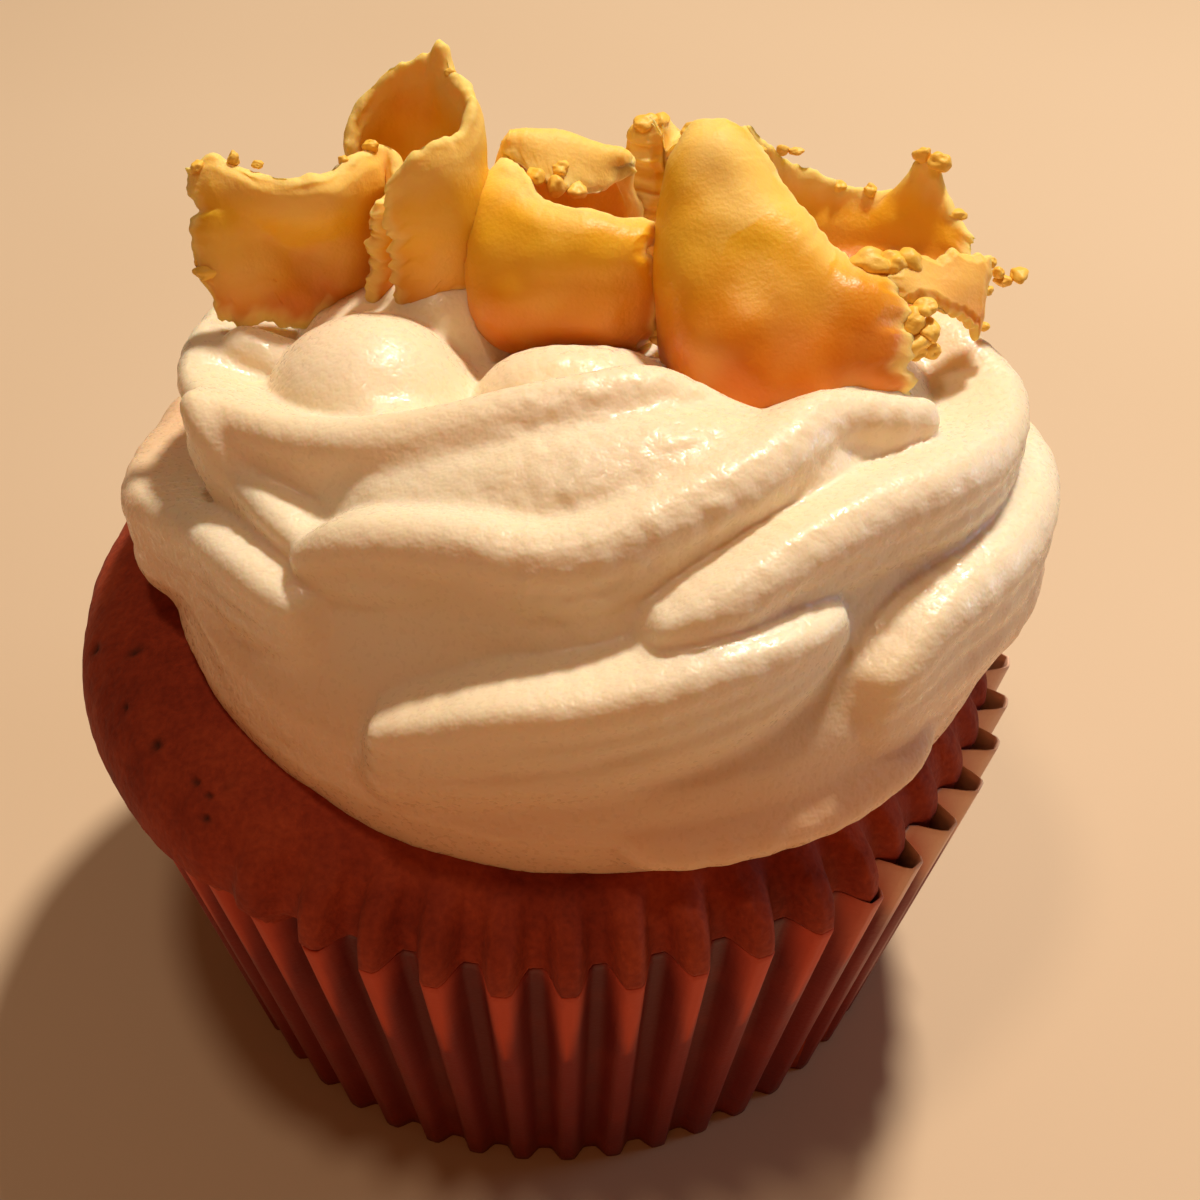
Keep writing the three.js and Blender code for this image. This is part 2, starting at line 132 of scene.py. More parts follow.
def overhang_at(angle):
    return bump_at(angle, *OVERHANG_SPAN)


def pleat_phase(angle):
    """Where a point lies in its pleat: 0 on the ridge, 0.5 in the valley."""
    turn = (angle - FIRST_RIDGE) / PLEAT_PITCH
    return np.abs(turn - np.round(turn))


def pleat_fold(angle):
    """0 on a ridge and 1 in a valley, with softly creased corners."""
    return ramp(pleat_phase(angle), *PLEAT_SIDE)


def pleat_depth(share):
    return lerp(BASE_PLEAT_DEPTH, RIM_PLEAT_DEPTH, share)


def case_radius(angle, share):
    """Radius of the pleated wall at a share of its height, pushed in under the overhang."""
    ridge = lerp(BASE_RADIUS, RIM_RADIUS - RIM_MARGIN, share) - RIM_TUCK * share * overhang_at(angle)
    return ridge - pleat_depth(share) * pleat_fold(angle)


def grid_faces(rows, columns, closed):
    """Quads between rows of points. Closed rows are rings, with a cap on the first and the last."""
    faces = []
    for row in range(rows - 1):
        for column in range(columns if closed else columns - 1):
            here = row * columns + column
            beside = row * columns + (column + 1) % columns
            faces.append((here, beside, beside + columns, here + columns))
    if closed:
        faces.append(tuple(range(columns))[::-1])
        faces.append(tuple((rows - 1) * columns + column for column in range(columns)))
    return faces


def mesh_piece(name, points, faces, **attributes):
    """A smooth mesh object from points in millimetres, with named values at its points."""
    mesh = bpy.data.meshes.new(name)
    mesh.from_pydata((points.reshape(-1, 3) * MM).tolist(), [], faces)
    mesh.polygons.foreach_set("use_smooth", [True] * len(mesh.polygons))
    for label, values in attributes.items():
        layer = mesh.attributes.new(label, "FLOAT", "POINT")
        layer.data.foreach_set("value", np.asarray(values, float).ravel())
    mesh.validate()
    piece = bpy.data.objects.new(name, mesh)
    bpy.context.scene.collection.objects.link(piece)
    return piece


def paint(hex_colour):
    """An sRGB hex colour as the linear colour that shaders use."""
    parts = [int(hex_colour[i:i + 2], 16) / 255 for i in (1, 3, 5)]
    linear = [c / 12.92 if c <= 0.04045 else ((c + 0.055) / 1.055) ** 2.4 for c in parts]
    return (*linear, 1.0)


def add_node(material, kind, inputs=None, **settings):
    """Adds a shader node, with its settings, and its inputs set or linked."""
    tree = material.node_tree
    added = tree.nodes.new("ShaderNode" + kind)
    for name, value in settings.items():
        setattr(added, name, value)
    for name, value in (inputs or {}).items():
        if isinstance(value, bpy.types.NodeSocket):
            tree.links.new(value, added.inputs[name])
        else:
            added.inputs[name].default_value = value
    return added


def new_material(name):
    material = bpy.data.materials.new(name)
    material.use_nodes = True
    material.node_tree.nodes.clear()
    return material


def finish_surface(material, shader):
    output = add_node(material, "OutputMaterial")
    material.node_tree.links.new(shader.outputs["BSDF"], output.inputs["Surface"])


def lumps_of(size):
    """The scale at which a noise has lumps of this many millimetres."""
    return 1 / (size * MM)


# A colour Mix node's sockets by number, since several of them share a name.
SHARE, UNDER, OVER, MIXED = 0, 6, 7, 2


# Greaseproof paper, calendered and pleated. Where it is greased it is dark and
# faintly glossy, and where it is dry it is pale and matte. Its folds are darker
# from grease and painted shade, its base is painted darker as shade, and its
# bare rim is painted paler, as window light on dry paper.
def greaseproof_paper():
    material = new_material("greaseproof_paper")
    place = add_node(material, "TexCoord").outputs["Object"]
    dry = add_node(material, "Attribute", attribute_name="dry").outputs["Fac"]
    fold = add_node(material, "Attribute", attribute_name="fold").outputs["Fac"]
    bare = add_node(material, "Attribute", attribute_name="bare").outputs["Fac"]
    blotches = add_node(material, "TexNoise", {"Vector": place, "Scale": lumps_of(BLOTCH_SIZE), "Detail": 3})
    fibres = add_node(material, "TexNoise", {"Vector": place, "Scale": lumps_of(FIBRE_SPACING), "Detail": 1})
    # Painted shade: the pleat valleys and the lower wall are mixed towards a darker paper.
    greased_and_shaded = add_node(material, "Mix", {
        SHARE: fold, UNDER: paint(PAPER_GREASED), OVER: paint(PAPER_FOLD_SHADE),
    }, data_type="RGBA")
    blotched = add_node(material, "Math", {0: blotches.outputs["Fac"], 1: 0.5}, operation="SUBTRACT")
    dryness = add_node(material, "Math", {
        0: blotched.outputs[0], 1: 0.5, 2: dry,
    }, operation="MULTIPLY_ADD", use_clamp=True)
    stained = add_node(material, "Mix", {
        SHARE: dryness.outputs[0], UNDER: greased_and_shaded.outputs[MIXED], OVER: paint(PAPER_DRY),
    }, data_type="RGBA")
    # Painted light: on the free rim the bare dry paper is mixed paler, as the window light falls on it.
    colour = add_node(material, "Mix", {
        SHARE: bare, UNDER: stained.outputs[MIXED], OVER: paint(PAPER_BARE_LIT),
    }, data_type="RGBA")
    roughness = add_node(material, "MapRange", {"Value": dryness.outputs[0], "To Min": 0.48, "To Max": 0.8})
    relief = add_node(material, "Bump", {
        "Height": fibres.outputs["Fac"], "Strength": 0.25, "Distance": 0.1 * MM,
    })
    shader = add_node(material, "BsdfPrincipled", {
        "Base Color": colour.outputs[MIXED],
        "Roughness": roughness.outputs[0],
        "Normal": relief.outputs[0],
        "IOR": 1.5,
    })
    finish_surface(material, shader)
    return material


case_columns = PLEATS * POINTS_PER_PLEAT
case_angles = np.arange(case_columns) * 360 / case_columns + FIRST_RIDGE
wall_shares = np.linspace(0, 1, WALL_ROWS)[:, None]
wobble = uneven(around(case_angles, 6.0, 0.0), 1.6, 1)[None, :]
opening = bump_at(case_angles, *FREE_RIM_SPAN)
case_wall = case_radius(case_angles + PLEAT_SWAY * wobble * wall_shares, wall_shares)
case_wall = case_wall + OUT_OF_ROUND * uneven(around(case_angles, 20.0, 0.0), 9, 2) * wall_shares
case_outer = around(case_angles, case_wall, wall_shares * (CASE_HEIGHT - RIM_WAVE + RIM_WAVE * wobble))
case_inner = around(case_angles, case_wall - PAPER, np.maximum(case_outer[..., 2], PAPER))
rim_height = case_outer[-1, :, 2] + PAPER / 3
lip = around(case_angles, case_wall[-1] - PAPER / 2, rim_height)
base_radii = case_wall[0] * np.array(BASE_RINGS)[:, None]
base_under = around(case_angles, base_radii, 0.0)
base_over = around(case_angles, base_radii[::-1] - PAPER, PAPER)
case_points = np.concatenate([base_under, case_outer, lip[None], case_inner[::-1], base_over])
below_rim = (CASE_HEIGHT - case_points[..., 2]) / DRY_LENGTH
dry_half_width = DRY_WIDTH * (1 - np.clip(below_rim, 0, 1)) ** DRY_TAPER
dry_half_width = dry_half_width + FREE_RIM_DRY_WIDTH * opening * (1 - 2 * below_rim)
case_dry = ramp(dry_half_width - pleat_phase(case_angles), *DRY_EDGE) * (below_rim < 1)
case_fold = pleat_fold(case_angles)
# The fold share holds the pleat valleys, dark from grease and painted shade, and a painted shade that grows
# towards the base.
case = mesh_piece(
    "pleated_case", case_points, grid_faces(len(case_points), case_columns, True),
    dry=case_dry,
    fold=np.maximum(case_fold, BASE_SHADE_DARKNESS * ramp(below_rim, *BASE_SHADE_DEPTHS)),
    bare=opening * (1 - ramp(below_rim + case_fold / 2, *BARE_EDGE)),
)
case.data.materials.append(greaseproof_paper())
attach(case, "root")
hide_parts("paper_case")


# Sponge. Cocoa-brown batter baked in the case. Its crown rises over the rim,
# sags over it on the left, and swells into the mouths of the pleats. The skin
# is dry and close, with a few burst bubbles.
CROWN_HEIGHT = 9.6
CROWN_POWER = 2.6
EDGE_RADIUS = 32.1
OVERHANG = 3.2
OVERHANG_LIFT = 1.1
OVERHANG_DROP = 0.7
OVERHANG_TUCK = 0.014
BACK_SPAN = (180, 30, 30)
FREE_RIM_GAP = 0.62  # how much less the cake fills the pleats there, as the next is
BACK_GAP = 0.4
WALL_GAP = 0.05
RIM_GAP = 0.04
HIDDEN_WALL_ROWS = 6
EDGE_ROWS = 70
TOP_ROWS = 14
BLISTER_SIZE = 7.7
CRUST_GRAIN = 0.5
SPONGE_SKIN = "#97361A"
SPONGE_DARK = "#802811"
SPONGE_LIGHT = "#A84321"
SPONGE_PORE_SHADE = "#431C0D"
PORES = 46
PORE_DEPTH = 0.35
PORE_SEED = 7


def pleat_fill(angle):
    """How far the cake has swollen into the pleats: hardly where the rim stands open."""
    return 1 - FREE_RIM_GAP * bump_at(angle, *FREE_RIM_SPAN) - BACK_GAP * bump_at(angle, *BACK_SPAN)


def crown(angle, share):
    """Points of the crown at a share of the way out to its edge."""
    over = overhang_at(angle)
    radius = (EDGE_RADIUS + OVERHANG * over) * share
    rise = (1 - np.minimum(share, 1) ** CROWN_POWER) ** (1 / CROWN_POWER)
    lift = OVERHANG_LIFT * over * ramp(share, 0.5, 1)
    return around(angle, radius, CASE_HEIGHT + lift + CROWN_HEIGHT * rise)


# Baked crumb, set by the oven's heat into a thin dry skin. It is matte, mottled
# from fox brown to chestnut, and finely grained, with its pores painted dark
# as shade in their hollows.
def baked_skin():
    material = new_material("baked_skin")
    place = add_node(material, "TexCoord").outputs["Object"]
    pore = add_node(material, "Attribute", attribute_name="pore").outputs["Fac"]
    broad = add_node(material, "TexNoise", {
        "Vector": place, "Scale": lumps_of(BLISTER_SIZE), "Detail": 3, "Roughness": 0.6,
    })
    grain = add_node(material, "TexNoise", {"Vector": place, "Scale": lumps_of(CRUST_GRAIN), "Detail": 2})
    tone = add_node(material, "ValToRGB", {"Fac": broad.outputs["Fac"]})
    dark, light = tone.color_ramp.elements
    dark.position = 0.32
    dark.color = paint(SPONGE_DARK)
    light.position = 0.7
    light.color = paint(SPONGE_LIGHT)
    tone.color_ramp.elements.new(0.5).color = paint(SPONGE_SKIN)
    fleck = add_node(material, "MapRange", {"Value": grain.outputs["Fac"], "From Min": 0.3, "From Max": 0.7})
    flecked = add_node(material, "Mix", {
        SHARE: 0.22, UNDER: tone.outputs[0], OVER: fleck.outputs[0],
    }, data_type="RGBA", blend_type="SOFT_LIGHT")
    # Painted shade: the pores are mixed towards a dark brown.
    colour = add_node(material, "Mix", {
        SHARE: pore, UNDER: flecked.outputs[MIXED], OVER: paint(SPONGE_PORE_SHADE),
    }, data_type="RGBA")
    relief = add_node(material, "Bump", {
        "Height": grain.outputs["Fac"], "Strength": 0.45, "Distance": 0.25 * MM,
    })
    shader = add_node(material, "BsdfPrincipled", {
        "Base Color": colour.outputs[MIXED],
        "Roughness": 0.82,
        "Normal": relief.outputs[0],
        "IOR": 1.4,
    })
    finish_surface(material, shader)
    return material


fill = pleat_fill(case_angles)
over = overhang_at(case_angles)
hidden_rows = np.linspace(0, WALL_ROWS - 3, HIDDEN_WALL_ROWS).astype(int)
plain_wall = lerp(BASE_RADIUS, EDGE_RADIUS, wall_shares)
sponge_wall = lerp(plain_wall, case_wall - PAPER - WALL_GAP, np.maximum(fill, over))[hidden_rows]
sponge_wall = around(case_angles, sponge_wall, np.maximum(case_outer[hidden_rows, :, 2], PAPER + 0.1))
spread = np.concatenate([np.linspace(1, 0.68, EDGE_ROWS), np.linspace(0.66, 0.01, TOP_ROWS)])[:, None]
crown_shares = np.sin(spread * math.pi / 2) ** (2 / CROWN_POWER)
sponge_crown = crown(case_angles, crown_shares)
lobes = fill * (1 - over) * (case_wall[-1] - RIM_GAP - EDGE_RADIUS) * ramp(crown_shares, 0.9, 1)
sponge_crown[..., :2] *= 1 + (lobes / np.linalg.norm(sponge_crown[..., :2], axis=-1))[..., None]
sponge_crown[..., 2] += (rim_height + RIM_GAP - CASE_HEIGHT) * ramp(crown_shares, 0.8, 1) * (1 - over)
tuck_under = sponge_crown[:1].copy()
tuck_under[..., :2] *= (1 - 0.004 - OVERHANG_TUCK * over)[None, :, None]
tuck_under[..., 2] -= 0.02 + OVERHANG_DROP * over
crown_relief = 0.22 * uneven(sponge_crown, 7, 3) + 0.07 * uneven(sponge_crown, 1.1, 4)
crown_relief *= 1 - ramp(crown_shares, 0.97, 1) * (1 - over)
outward = sponge_crown / np.linalg.norm(sponge_crown, axis=-1, keepdims=True)
sponge_crown = sponge_crown + outward * crown_relief[..., None]
pore_dice = random.Random(PORE_SEED)
pore_share = np.zeros(sponge_crown.shape[:-1])
for _ in range(PORES):
    pore_angle = pore_dice.uniform(0, 360)
    pore_size = pore_dice.uniform(0.22, 0.5)
    pore_centre = crown(np.array([pore_angle]), np.array([pore_dice.uniform(0.86, 0.99)]))[0]
    reach = np.linalg.norm(sponge_crown - pore_centre, axis=-1) / pore_size
    pore_share = np.maximum(pore_share, np.exp(-reach ** 2))
sponge_crown = sponge_crown - outward * PORE_DEPTH * pore_share[..., None]
sponge_points = np.concatenate([sponge_wall, tuck_under, sponge_crown])
sponge_faces = grid_faces(len(sponge_points), case_columns, True)
sponge_pores = np.zeros(sponge_points.shape[:-1])
sponge_pores[-len(sponge_crown):] = pore_share
sponge = mesh_piece("baked_sponge", sponge_points, sponge_faces, pore=sponge_pores)
sponge.data.materials.append(baked_skin())
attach(sponge, "root")
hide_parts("sponge")


# Buttercream. Whipped butter and icing sugar, piped from a wide star nozzle in
# two turns, a little right of the middle. Each rib is a cord with its crest at
# [angle, radius, height, thickness], run into the body of the swirl.
SWIRL_X = 3.0
SWIRL_CORE = 44.0
SWIRL_BLEND = 1.2
STRING_BLEND = 0.14
SWIRL_LEAN = 0.13
LEAN_RISE = 12
# Each string of a rib: its width, how far out it stands and how far down it lies
# from the crest, all in thicknesses of the rib.
RIB_STRINGS = [(0.75, 0.5, 0.66), (1.0, 0.45, 1.4), (1.15, 0.4, 2.4)]
LOWEST_FACE = 47
FLANK_SPAN = (-80, 14, 26)
FLANK_DEPTH = 0.09
BEADED_SPAN = (40, 40, 30)
BEADED_HEIGHTS = (48, 54)
SWIRL_COLUMNS = 420
SWIRL_ROWS = 200
SWIRL_LOWEST = -16
SECTOR = 10
SECTOR_REACH = 42  # how far to either side of a sector's middle ribs are felt
RAY_START = 42.0
RAY_STEPS = 120
RAY_CAUTION = 0.9
RAY_CLOSE = 0.02
SMOOTHING_PASSES = 2
SWIRL_BODY = [
    [0, 30], [27, 33], [29.6, 36], [30.6, 40], [30.1, 44], [28.2, 47.8], [25.4, 51.2],
    [23.6, 54], [21.2, 56.6], [18, 58], [15, 57.6], [12, 56], [8, 54.8], [0, 54.4],
]
RIBS = [
    [[5, 30.6, 40, 1.8], [24, 30.8, 40, 2.2], [38, 30.8, 40.4, 2], [44, 30.6, 40.6, 1.4]],
    [
        [-26, 31, 48.4, 2.1], [-14, 30.4, 51.2, 2.5], [-2, 29.8, 52.4, 2.5], [14, 29.2, 53.6, 2.3],
        [25, 28.6, 53.6, 1.7], [33, 27.4, 52.8, 1],
    ],
    [
        [-45, 26.1, 55, 2], [-38, 24.8, 57.2, 2.7], [-23, 23.4, 58.5, 2.8], [-6, 23.3, 58.8, 2.8],
        [13, 21.3, 60, 2.8], [30, 20.2, 60.6, 2.8], [52, 19, 60.4, 2.6], [66, 23.6, 58.6, 2],
    ],
    [
        [-83, 27.2, 57, 1.8], [-72, 25.4, 58, 2.2], [-56, 21, 59, 2.5], [-44, 17.8, 60, 2.6],
        [-28, 14.6, 61.3, 2.6], [-10, 12.9, 62.2, 2.6], [14, 11.8, 62.2, 2.6], [30, 12.6, 60.6, 2.4],
        [42, 15.5, 58.6, 2],
    ],
    [
        [-76, 27.4, 58.2, 1.6], [-71, 26.8, 57, 1.7], [-66, 25.8, 55, 1.8], [-56, 25.4, 54.8, 1.8],
        [-48, 25.2, 54.4, 1.8],
    ],
    [
        [-100, 32.4, 45.8, 2.6], [-84, 32, 48.2, 2.6], [-77, 30.6, 49.6, 2.4], [-66, 28.9, 51.4, 2.2],
        [-54, 28.6, 52.6, 2], [-44, 28.2, 52.2, 1.7],
    ],
    [
        [9, 26.6, 55.2, 1.7], [18, 26.2, 56.8, 2.5], [30, 25, 57.6, 2.8], [46, 25.2, 57.6, 3],
        [60, 27, 57, 3], [75, 28.5, 55.5, 2.8], [87, 28.6, 55.2, 2.6], [98, 25.8, 56, 2.4],
    ],
    [
        [38, 30, 48.5, 2.2], [50, 29.8, 50.5, 2.8], [72, 31, 49.8, 3.4], [88, 31.6, 48.4, 3.4],
        [112, 30.6, 46, 3],
    ],
    [[112, 31.2, 44.2, 2.4], [145, 30.2, 46.4, 2.8], [180, 28.9, 48.4, 2.8], [212, 27, 50.6, 2]],
    [[100, 26, 55.6, 2.4], [135, 25, 54.8, 2.6], [175, 22.4, 55, 2.6], [212, 18, 56.4, 2.2]],
    [[186, 31, 43, 2.2], [222, 31.6, 45, 2.8], [262, 32.4, 45.5, 3]],
    [[206, 25, 52.6, 1.8], [232, 26.4, 54.6, 2.4], [256, 27.4, 55.8, 2.4], [274, 27.4, 56.8, 2]],
]
# The fat middle of the top turn, under its smooth face.
TOP_TURN = [
    [-50, 19.4, 55.8, 3.4], [-36, 18.2, 58, 4], [-18, 16.6, 59.8, 4.6], [0, 15.8, 60.8, 5],
    [18, 15.6, 61, 5], [34, 16.6, 59.8, 4], [46, 18.4, 58.2, 3.2],
]
TOP_TURN_BLEND = 1.5
# Rounded ends of the swirl inside its top rim: [x, y, z, radius, blend].
MOUNDS = [
    [-1.6, -3.6, 54.2, 3.5, 1], [0.8, -3.8, 54.6, 3.5, 3], [3.2, -3.4, 54.2, 3.4, 3],
    [5.4, -2.6, 53.4, 3.2, 3], [-7.4, 6.8, 53.2, 6.2, 0.6], [-12.3, -2.2, 52.2, 7.6, 0.6],
    [14, 8, 51.6, 6.4, 2], [-20.8, 1.6, 55.6, 2, 0.6],
]
CREAM = "#F8EBD3"
CREAM_DEEP = "#F4DFB6"
CREAM_PAINTED_SHADE = "#EFC69C"
CREAM_PATCH = 11.1
CREAM_LUMP = 0.45


def smooth_between(knots, places, *rest):
    """A smooth curve through knots, at places from 0 to 1. The rest picks within each knot."""
    last = len(knots) - 1
    knots = np.concatenate([[2 * knots[0] - knots[1]], knots, [2 * knots[-1] - knots[-2]]])
    places = places * last
    first = np.clip(places.astype(int), 0, last - 1)
    w = (places - first)[:, None]
    before, start, end, after = (knots[(first + k, *rest)] for k in range(4))
    leave = (end - before) / 2
    arrive = (after - start) / 2
    return (
        (2 * w**3 - 3 * w**2 + 1) * start + (w**3 - 2 * w**2 + w) * leave
        + (3 * w**2 - 2 * w**3) * end + (w**3 - w**2) * arrive
    )


def rib_balls(rib):
    """Strings of balls along a rib: a narrow one for its crest, and broader ones down its face."""
    crest = smooth_between(np.array(rib, float), np.linspace(0, 1, (len(rib) - 1) * 4 + 1))
    strings = []
    for width, out, down in RIB_STRINGS:
        if strings and crest[:, 2].max() < LOWEST_FACE:
            break
        size = crest[:, 3] * width
        radius = crest[:, 1] + out * crest[:, 3] - size
        height = crest[:, 2] - down * crest[:, 3]
        strings.append((around(crest[:, 0], radius, height, SWIRL_X), size))
    return strings


def soft_least(gaps, reach):
    """The least of each row, with near ties run together."""
    least = gaps.min(1)
    return least - reach * np.log(np.exp((least[:, None] - gaps) / reach).sum(1))


def blend_union(first, second, reach):
    near = np.maximum(reach - np.abs(first - second), 0) / reach
    return np.minimum(first, second) - near * near * reach / 4


def body_distance(radius, height):
    """Signed distance to the swirl's plain outline, negative inside."""
    nearest = np.full(radius.shape, 1e9)
    inside = np.zeros(radius.shape, bool)
    for (r1, z1), (r2, z2) in zip(SWIRL_BODY, SWIRL_BODY[1:]):
        dr, dz = r2 - r1, z2 - z1
        along = np.clip(((radius - r1) * dr + (height - z1) * dz) / (dr * dr + dz * dz), 0, 1)
        nearest = np.minimum(nearest, np.hypot(radius - r1 - along * dr, height - z1 - along * dz))
        if dz:
            inside ^= ((z1 > height) != (z2 > height)) & (radius < r1 + (height - z1) / dz * dr)
    return np.where(inside, -nearest, nearest)


def swirl_distance(points, start, end, start_size, end_size):
    """Signed distance to the buttercream, with the ribs between start and end."""
    top_share = np.clip((points[:, 2] - SWIRL_CORE) / LEAN_RISE, 0, 1)
    drop = SWIRL_LEAN * np.maximum(points[:, 1], 0) * top_share
    bearing = np.degrees(np.arctan2(points[:, 0] - SWIRL_X, -points[:, 1]))
    flank = FLANK_DEPTH * bump_at(bearing, *FLANK_SPAN) * ramp(points[:, 2], 44, 50)
    radius = np.hypot(points[:, 0] - SWIRL_X, points[:, 1]) * (1 + flank)
    distance = body_distance(radius, points[:, 2] + drop)
    for middle, size in zip(turn_middles, turn_line[:, 3]):
        ball = np.linalg.norm(points - middle, axis=-1) - size
        distance = blend_union(distance, ball, TOP_TURN_BLEND)
    run = end - start
    reach = points[:, None] - start
    along = np.clip((reach * run).sum(-1) / (run * run).sum(-1), 0, 1)
    off = np.linalg.norm(reach - along[..., None] * run, axis=-1)
    strings = soft_least(off - lerp(start_size, end_size, along), STRING_BLEND)
    distance = blend_union(distance, strings, SWIRL_BLEND)
    for x, y, z, size, blend in MOUNDS:
        ball = np.linalg.norm(points - np.array([x, y, z]), axis=-1) - size
        distance = blend_union(distance, ball, blend)
    return distance


turn_line = smooth_between(np.array(TOP_TURN, float), np.linspace(0, 1, 16))
turn_middles = around(turn_line[:, 0], turn_line[:, 1], turn_line[:, 2] - turn_line[:, 3], SWIRL_X)


def swirl_surface():
    """The outermost points of the buttercream, seen from its core, sector by sector."""
    balls = [string for rib in RIBS for string in rib_balls(rib)]
    start = np.concatenate([middle[:-1] for middle, _ in balls])
    end = np.concatenate([middle[1:] for middle, _ in balls])
    start_size = np.concatenate([size[:-1] for _, size in balls])
    end_size = np.concatenate([size[1:] for _, size in balls])
    bearing = np.degrees(np.arctan2(start[:, 0] - SWIRL_X, -start[:, 1]))
    core = np.array([SWIRL_X, 0, SWIRL_CORE])
    surface = np.zeros((SWIRL_ROWS, SWIRL_COLUMNS, 3))
    angles = np.arange(SWIRL_COLUMNS) * 360 / SWIRL_COLUMNS
    elevations = np.radians(np.linspace(SWIRL_LOWEST, 90, SWIRL_ROWS)[:, None])
    for first in range(0, 360, SECTOR):
        columns = np.where((angles >= first) & (angles < first + SECTOR))[0]
        near = np.abs((bearing - first - SECTOR / 2 + 180) % 360 - 180) < SECTOR_REACH
        ribs = (start[near], end[near], start_size[near], end_size[near])
        rays = around(angles[columns], np.cos(elevations), np.sin(elevations)).reshape(-1, 3)
        reach = np.full(len(rays), RAY_START)
        going = np.arange(len(rays))
        for _ in range(RAY_STEPS):
            gap = swirl_distance(core + reach[going, None] * rays[going], *ribs)
            reach[going] -= np.maximum(gap * RAY_CAUTION, 0)
            going = going[gap > RAY_CLOSE]
            if not len(going):
                break
        surface[:, columns] = (core + reach[:, None] * rays).reshape(SWIRL_ROWS, len(columns), 3)
    for _ in range(SMOOTHING_PASSES):
        beside = np.roll(surface, 1, 1) + np.roll(surface, -1, 1)
        surface[1:-1] = surface[1:-1] / 2 + (beside[1:-1] + surface[2:] + surface[:-2]) / 8
    return surface


# Buttercream, whipped and piped. Ivory and softly translucent, with a satin
# gloss that breaks up on fine lumps. Where it lies on the cake it is painted
# warmer and darker, as shade and warm bounce light.
def whipped_buttercream():
    material = new_material("whipped_buttercream")
    place = add_node(material, "TexCoord").outputs["Object"]
    low = add_node(material, "Attribute", attribute_name="low").outputs["Fac"]
    broad = add_node(material, "TexNoise", {"Vector": place, "Scale": lumps_of(CREAM_PATCH), "Detail": 1})
    fine = add_node(material, "TexNoise", {"Vector": place, "Scale": lumps_of(CREAM_LUMP), "Detail": 1})
    cream = add_node(material, "Mix", {
        SHARE: broad.outputs["Fac"], UNDER: paint(CREAM), OVER: paint(CREAM_DEEP),
    }, data_type="RGBA")
    # Painted shade: low down the cream is mixed towards a warm tan.
    colour = add_node(material, "Mix", {
        SHARE: low, UNDER: cream.outputs[MIXED], OVER: paint(CREAM_PAINTED_SHADE),
    }, data_type="RGBA")
    lumps = add_node(material, "Bump", {
        "Height": fine.outputs["Fac"], "Strength": 0.26, "Distance": 0.25 * MM,
    })
    roughness = add_node(material, "MapRange", {
        "Value": fine.outputs["Fac"], "From Min": 0.35, "From Max": 0.65, "To Min": 0.24, "To Max": 0.52,
    })
    shader = add_node(material, "BsdfPrincipled", {
        "Base Color": colour.outputs[MIXED],
        "Roughness": roughness.outputs[0],
        "Normal": lumps.outputs[0],
        "Subsurface Weight": 0.5,
        "Subsurface Radius": (1.0, 0.62, 0.32),
        "Subsurface Scale": 2.0 * MM,
        "IOR": 1.46,
    })
    finish_surface(material, shader)
    return material


swirl_points = swirl_surface()
swirl_out = swirl_points - np.array([SWIRL_X, 0, SWIRL_CORE])
swirl_out /= np.linalg.norm(swirl_out, axis=-1, keepdims=True)
swirl_relief = 0.16 * uneven(swirl_points * [1, 1, 2.2], 5, 5) + 0.05 * uneven(swirl_points, 0.9, 6)
crown_angle = np.degrees(np.arctan2(swirl_points[..., 0], -swirl_points[..., 1]))
beaded = bump_at(crown_angle, *BEADED_SPAN) * ramp(swirl_points[..., 2], *BEADED_HEIGHTS)
swirl_relief += 0.13 * beaded * uneven(swirl_points, 1.0, 7)
swirl_points = swirl_points + swirl_out * swirl_relief[..., None]
crown_edge = EDGE_RADIUS + OVERHANG * overhang_at(crown_angle)
crown_share = np.clip(np.hypot(swirl_points[..., 0], swirl_points[..., 1]) / crown_edge, 0, 1)
crown_top = crown(crown_angle, crown_share)[..., 2] - 0.3
swirl_points[..., 2] = np.maximum(swirl_points[..., 2], crown_top)
foot = swirl_points[:1] * np.array([0.3, 0.3, 1]) + np.array([0, 0, 2.0])
swirl_points = np.concatenate([foot, swirl_points[:-1]])
swirl_faces = grid_faces(len(swirl_points), SWIRL_COLUMNS, True)
# Painted shade: a share that grows towards the cake and reaches a little higher on the left.
swirl_painted_shade = 1 - ramp(swirl_points[..., 2] + 0.08 * swirl_points[..., 0], 40, 52)
swirl = mesh_piece("buttercream_swirl", swirl_points, swirl_faces, low=swirl_painted_shade)
swirl.data.materials.append(whipped_buttercream())
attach(swirl, "root")
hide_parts("buttercream")


